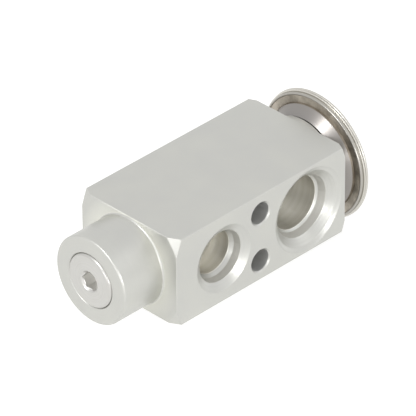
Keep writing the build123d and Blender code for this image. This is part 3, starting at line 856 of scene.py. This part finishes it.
def make_lower_shell():
    """Turns the lower shell from its neck to its rim and back inside, then winds the thread."""
    shape = bmesh.new()
    core_r = NECK_R - THREAD_DEPTH_SHARE * NECK_PITCH
    section = [
        (NECK_START, NECK_BORE_R),
        (NECK_START, core_r),
        (NECK_THREAD_END, core_r),
        (SEAL_SEAT, NECK_R),
        (SHOULDER_X, NECK_R),
        (SHOULDER_X, SHOULDER_R),
        (CONE_X, CONE_R),
        (RIM_GROOVE_X, CONE_R + RIM_GROOVE_SLOPE),
        (RIM_GROOVE_X, RIM_FACE_R - RIM_GROOVE_SLOPE),
        (RIM_FACE_X, RIM_FACE_R),
        (RIM_FACE_X, RIM_R),
        (BEAD_X, RIM_R),
        (BEAD_X, BEAD_R),
        (JOINT_X, BEAD_R),
        (JOINT_X, CAVITY_RIM_R),
        (CAVITY_X, CAVITY_R),
        (CAVITY_X, NECK_BORE_R),
    ]
    lathe(shape, section, closed=True)
    round_ring(shape, RIM_FACE_X, RIM_R, RIM_ROUND, RIM_STEPS)
    round_ring(shape, RIM_FACE_X, RIM_FACE_R, CHAMFER / 2, EDGE_STEPS)
    round_ring(shape, BEAD_X, BEAD_R, BEAD_ROUND, BEAD_STEPS)
    round_ring(shape, CONE_X, CONE_R, CHAMFER / 2, EDGE_STEPS)
    thread_ridge(shape, NECK_START + CHAMFER, NECK_THREAD_END, NECK_R, NECK_PITCH)
    shell = finish_piece("threaded_lower_shell", shape, tinted_steel)
    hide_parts("head_lower_housing")
    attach(shell, "valve_block")


make_lower_shell()

# %% [markdown]
# ## Superheat spring
# The spring is wound from round wire and its ends are ground flat. Its front end stands on the screw,
# which moves 1 mm each way, and its rear end on the ball carrier, which lifts 0.6 mm. So it is wound as
# two halves that meet in the middle.

# %% Spring in two halves
SPRING_START, SPRING_END = TAIL_END, -18.93
SPRING_GAP = 0.02
SPRING_MEAN_R, WIRE_R = 4.4, 0.9
COILS = 4.75
WIRE_SIDES = 16
COIL_STEPS = 40


def make_spring_half(name, first_turn, turns, cut_x, cut_way):
    """Winds half of the spring and grinds one end flat."""
    pitch = (SPRING_END - SPRING_START) / COILS
    shape = bmesh.new()
    across = Matrix.Translation((0, 0, SPRING_MEAN_R)) @ Matrix.Rotation(math.pi / 2, 4, "X")
    wire = bmesh.ops.create_circle(shape, segments=WIRE_SIDES, radius=WIRE_R, matrix=across)["verts"]
    place = Matrix.Translation((SPRING_START + first_turn * pitch, 0, 0))
    turn = Matrix.Rotation(2 * math.pi * first_turn, 4, "X")
    bmesh.ops.transform(shape, matrix=place @ turn, verts=wire)
    wind(shape, wire, pitch, turns, COIL_STEPS)
    bmesh.ops.bisect_plane(
        shape,
        geom=shape.verts[:] + shape.edges[:] + shape.faces[:],
        plane_co=(cut_x, 0, 0),
        plane_no=(cut_way, 0, 0),
        clear_outer=True,
    )
    bmesh.ops.holes_fill(shape, edges=[edge for edge in shape.edges if edge.is_boundary])
    half = finish_piece(name, shape, spring_wire)
    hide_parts("superheat_spring")
    return half


half_coils = COILS / 2
front_half = make_spring_half("spring_screw_half", 0, half_coils, SPRING_START + SPRING_GAP, -1)
rear_half = make_spring_half("spring_carrier_half", half_coils, half_coils, SPRING_END - SPRING_GAP, 1)
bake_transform(front_half)
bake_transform(rear_half)

# %% [markdown]
# ## The table
# The valve lies on the rim of its head and the edge of its boss, so the table under it slopes a little
# in the valve's own frame. Both edges are rounded, so each touches the table a little way in from its
# face. The table is white where the camera and the metal see it, and keeps a soft shadow.

# %% Table under the valve
TOUCH_IN_HEAD = 0.42
TOUCH_IN_BOSS = 0.55
REST_HEAD = Vector((cover_low.x + TOUCH_IN_HEAD, 0, -FLANGE_R)) * MM
REST_BOSS = Vector((BOSS_FACE_X + TOUCH_IN_BOSS, 0, -BOSS_R)) * MM
TABLE_HALF = 1.5
TABLE_PAINT = "b4b4b2"
TABLE_GLOW = 0.8


def seen_directly(tree):
    """1 for rays from the camera, from gloss and from glass, and 0 for the rays that carry light."""
    path = add_node(tree, "LightPath").outputs
    seen = path["Is Camera Ray"]
    for kind in ("Is Glossy Ray", "Is Transmission Ray"):
        seen = add_node(tree, "Math", {0: seen, 1: path[kind]}, operation="MAXIMUM").outputs[0]
    return seen


def make_table():
    """A square sheet that touches the head and the boss, and isn't part of the model."""
    slope = math.atan2(REST_HEAD.z - REST_BOSS.z, REST_HEAD.x - REST_BOSS.x)
    mesh = bpy.data.meshes.new("table")
    shape = bmesh.new()
    bmesh.ops.create_grid(shape, x_segments=1, y_segments=1, size=TABLE_HALF)
    bmesh.ops.rotate(shape, verts=shape.verts, matrix=Matrix.Rotation(-slope, 3, "Y"))
    bmesh.ops.translate(shape, verts=shape.verts, vec=REST_HEAD)
    shape.to_mesh(mesh)
    shape.free()
    table = bpy.data.objects.new("table", mesh)
    bpy.context.scene.collection.objects.link(table)

    material, tree, _ = new_material("white_table")
    paint = add_node(tree, "BsdfDiffuse", {"Color": linear(TABLE_PAINT)}).outputs[0]
    glow = add_node(tree, "Math", {0: seen_directly(tree), 1: TABLE_GLOW}, operation="MULTIPLY").outputs[0]
    light = add_node(tree, "Emission", {"Strength": glow}).outputs[0]
    both = add_node(tree, "AddShader", {0: paint, 1: light}).outputs[0]
    add_node(tree, "OutputMaterial", {"Surface": both})
    mesh.materials.append(material)
    print("table slopes", round(math.degrees(slope), 2), "degrees")


make_table()

# %% [markdown]
# ## Light tent
# A light tent is close to white from every side, and the world stands for it. It is fully white for the
# camera and for reflections, and weaker as a light, so that the aluminium keeps its own brightness.

# %% Light tent
TENT_LIGHT = 0.55
TENT_SEEN = 1.0


def make_tent():
    """The world: white where it is seen, and weaker as a light."""
    world = bpy.data.worlds.new("light_tent")
    bpy.context.scene.world = world
    world.use_nodes = True
    tree = world.node_tree
    tree.nodes.clear()
    lit = add_node(tree, "Background", {"Color": linear("ffffff"), "Strength": TENT_LIGHT}).outputs[0]
    seen = add_node(tree, "Background", {"Color": linear("ffffff"), "Strength": TENT_SEEN}).outputs[0]
    choice = add_node(tree, "MixShader", {0: seen_directly(tree), 1: lit, 2: seen}).outputs[0]
    add_node(tree, "OutputWorld", {"Surface": choice})
    print(world.name, "lights with", TENT_LIGHT, "and is seen at", TENT_SEEN)


make_tent()

# %% [markdown]
# ## Soft boxes
# Small soft boxes stand in the tent. The one high on the left puts the soft spot on the cone of the head,
# and the low one on the left catches the turned corner. The one in the middle and the one in front light
# the mouths of the ports and of the bolt holes, and a weak wide one on the right lifts the boss and the
# long edge of the block.

# %% Soft boxes
LAMP_DISTANCE = 1.1


def direction(azimuth, elevation):
    """The way to look from the valve. Azimuth 0 is out of the port face, and -90 is out of the boss."""
    turn, rise = math.radians(azimuth), math.radians(elevation)
    return Vector((math.sin(turn) * math.cos(rise), -math.cos(turn) * math.cos(rise), math.sin(rise)))


def soft_box(name, azimuth, elevation, width, height, power):
    """A rectangular lamp that faces the valve."""
    away = direction(azimuth, elevation)
    lamp = bpy.data.lights.new(name, "AREA")
    lamp.shape, lamp.size, lamp.size_y, lamp.energy = "RECTANGLE", width, height, power
    box = bpy.data.objects.new(name, lamp)
    bpy.context.scene.collection.objects.link(box)
    box.location = away * LAMP_DISTANCE
    box.rotation_mode = "QUATERNION"
    box.rotation_quaternion = away.to_track_quat("Z", "Y")
    box.visible_camera = False
    print(name, "at azimuth", azimuth, "elevation", elevation)


soft_box("left_soft_box", -90, 42, 0.26, 0.34, 3.4)
soft_box("low_left_soft_box", -74, 8, 0.24, 0.34, 1.3)
soft_box("middle_soft_box", -36, 8, 0.34, 0.2, 0.9)
soft_box("front_soft_box", -7, 9, 0.34, 0.26, 2.0)
soft_box("right_soft_box", 45, 34, 0.7, 0.6, 0.4)

# %% [markdown]
# ## Camera
# A long lens far away gives the calm perspective of a catalogue picture. The camera is placed by the
# direction it looks from, turned a hair about its own axis, and aimed at the middle of the block.

# %% Camera
AIM = Vector((-0.652, 1.358, 0.748)) * MM
VIEW_AZIMUTH = -44.915
VIEW_ELEVATION = 33.815
VIEW_ROLL = -0.408
VIEW_DISTANCE = 1.31765
LENS, SENSOR = 428.0, 36.0
CLIP_NEAR, CLIP_FAR = 0.1, 10.0


def make_camera():
    """Places the camera and makes it the scene's own."""
    back = direction(VIEW_AZIMUTH, VIEW_ELEVATION)
    data = bpy.data.cameras.new("camera")
    data.lens, data.sensor_width = LENS, SENSOR
    data.clip_start, data.clip_end = CLIP_NEAR, CLIP_FAR
    camera = bpy.data.objects.new("camera", data)
    bpy.context.scene.collection.objects.link(camera)
    camera.location = AIM + back * VIEW_DISTANCE
    camera.rotation_mode = "QUATERNION"
    upright = (-back).to_track_quat("-Z", "Y")
    roll = Matrix.Rotation(math.radians(VIEW_ROLL), 3, "Z").to_quaternion()
    camera.rotation_quaternion = upright @ roll
    bpy.context.scene.camera = camera
    print("camera", [round(v, 4) for v in camera.location])


make_camera()

# %% [markdown]
# ## Picture settings
# The standard view keeps a colour as it is written. Other views bend the light parts, which would grey
# the white table.

# %% Picture settings
view_settings = bpy.context.scene.view_settings
view_settings.view_transform = "Standard"
print("view:", view_settings.view_transform)
